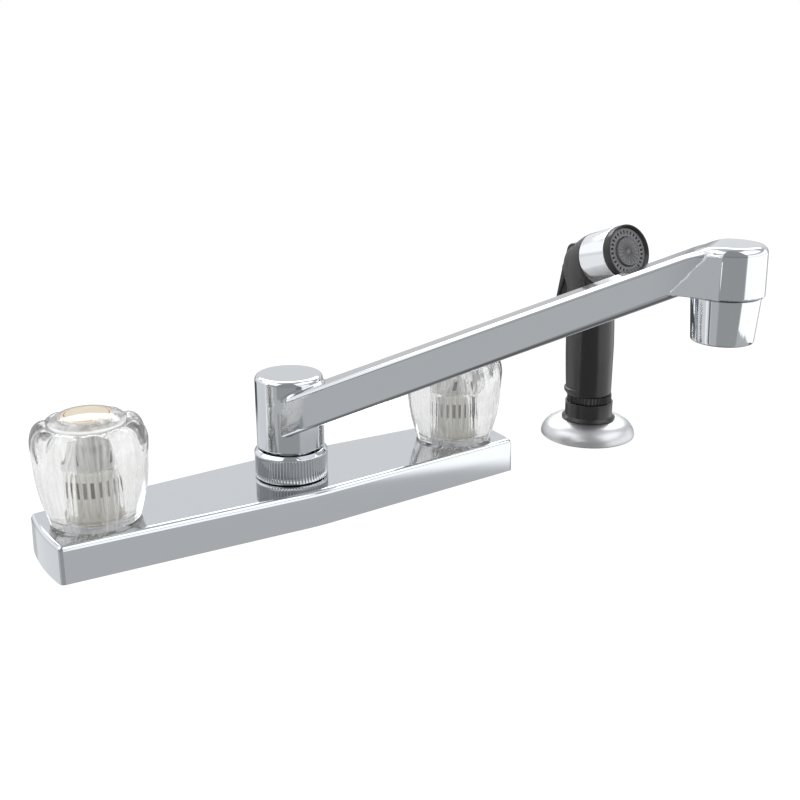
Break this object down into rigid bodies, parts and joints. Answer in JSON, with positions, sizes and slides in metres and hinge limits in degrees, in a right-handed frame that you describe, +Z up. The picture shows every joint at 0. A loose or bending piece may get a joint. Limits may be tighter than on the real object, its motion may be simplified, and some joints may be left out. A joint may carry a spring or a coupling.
{
  "type": "two handle kitchen faucet",
  "caption": "Deck plate faucet with clear fluted hot and cold handles, a straight rising spout that swings over the sink, and a pull-out side spray in its own holder.",
  "frame": {"origin": "the spout's axis on top of the sink deck, at the foot of the deck plate", "axes": "+X along the deck plate to the cold handle and the side spray, -Y towards the user, +Z up"},
  "size_m": [0.3596, 0.2237, 0.2094],
  "materials": {
    "chrome": "polished chrome plate on cast metal",
    "band_chrome": "bright chrome plate on plastic",
    "satin_nickel": "soft satin nickel plate",
    "rubber": "matt black rubber",
    "brass": "machined brass",
    "copper": "drawn copper tube",
    "steel": "plain steel",
    "white_plastic": "white moulded plastic",
    "clear_acrylic": "clear fluted acrylic",
    "clear_cap": "clear smooth acrylic",
    "cream_plastic": "cream moulded plastic",
    "hot_index": "cream index button with a faint red ring",
    "cold_index": "cream index button with a faint blue ring",
    "black_plastic": "glossy black moulded plastic",
    "face_plastic": "dark grey moulded plastic"
  },
  "bodies": {
    "base": {"deck_plate": "chrome", "deck_gasket": "rubber", "hot_valve_body": "brass", "cold_valve_body": "brass", "spout_post": "brass", "cross_tubes": "copper", "hot_bonnet_nut": "chrome", "cold_bonnet_nut": "chrome", "hot_cartridge": "white_plastic", "cold_cartridge": "white_plastic", "seat_springs": "steel", "valve_seats": "rubber", "hose_nipple": "brass", "shank_washers": "steel", "shank_nuts": "white_plastic", "spout_nut": "chrome", "spray_flange": "satin_nickel", "spray_holder": "black_plastic", "holder_washer": "steel", "holder_nut": "black_plastic"},
    "diverter_piston": {"diverter": "white_plastic"},
    "spout_arm": {"spout": "chrome", "spout_o_rings": "rubber", "spout_snap_ring": "white_plastic", "aerator_housing": "chrome", "aerator_washer": "rubber", "aerator_insert": "white_plastic", "aerator_screen": "steel"},
    "hot_knob": {"hot_handle": "clear_acrylic", "hot_core": "cream_plastic", "hot_screw": "steel", "hot_cap": "clear_cap", "hot_button": "hot_index", "hot_stem": "brass", "hot_stem_o_ring": "rubber"},
    "cold_knob": {"cold_handle": "clear_acrylic", "cold_core": "cream_plastic", "cold_screw": "steel", "cold_cap": "clear_cap", "cold_button": "cold_index", "cold_stem": "brass", "cold_stem_o_ring": "rubber"},
    "hand_spray": {"spray_body": "black_plastic", "spray_band": "band_chrome", "spray_rim": "black_plastic", "spray_face": "face_plastic", "spray_core": "face_plastic", "spray_ring": "black_plastic", "hose_coupling": "black_plastic", "lever_pin": "steel", "plunger_spring": "steel"},
    "thumb_lever": {"spray_lever": "black_plastic"},
    "plunger_rod": {"spray_plunger": "brass"}
  },
  "joints": [
    {"name": "hot_handle_turn", "type": "hinge", "parent": "base", "child": "hot_knob", "pos_m": [-0.1016, 0, 0.04], "axis": [0, 0, 1], "range_deg": [0, 90]},
    {"name": "cold_handle_turn", "type": "hinge", "parent": "base", "child": "cold_knob", "pos_m": [0.1016, 0, 0.04], "axis": [0, 0, 1], "range_deg": [-90, 0]},
    {"name": "spout_swing", "type": "hinge", "parent": "base", "child": "spout_arm", "pos_m": [0, 0, 0.03], "axis": [0, 0, 1], "range_deg": [-120, 38]},
    {"name": "diverter_lift", "type": "slide", "parent": "base", "child": "diverter_piston", "axis": [0, 0, 1], "range_m": [0, 0.002]},
    {"name": "spray_lift", "type": "slide", "parent": "base", "child": "hand_spray", "axis": [0, 0, 1], "range_m": [0, 0.15]},
    {"name": "lever_press", "type": "hinge", "parent": "hand_spray", "child": "thumb_lever", "pos_m": [0.2032, 0.012, 0.108], "axis": [-1, 0, 0], "range_deg": [0, 10], "stiffness_Nm_per_rad": 0.3},
    {"name": "plunger_slide", "type": "slide", "parent": "hand_spray", "child": "plunger_rod", "axis": [0, -1, 0], "range_m": [0, 0.0022]}
  ],
  "couplings": [
    {"joint": "plunger_slide", "follows": "lever_press", "m_per_rad": 0.0125}
  ]
}
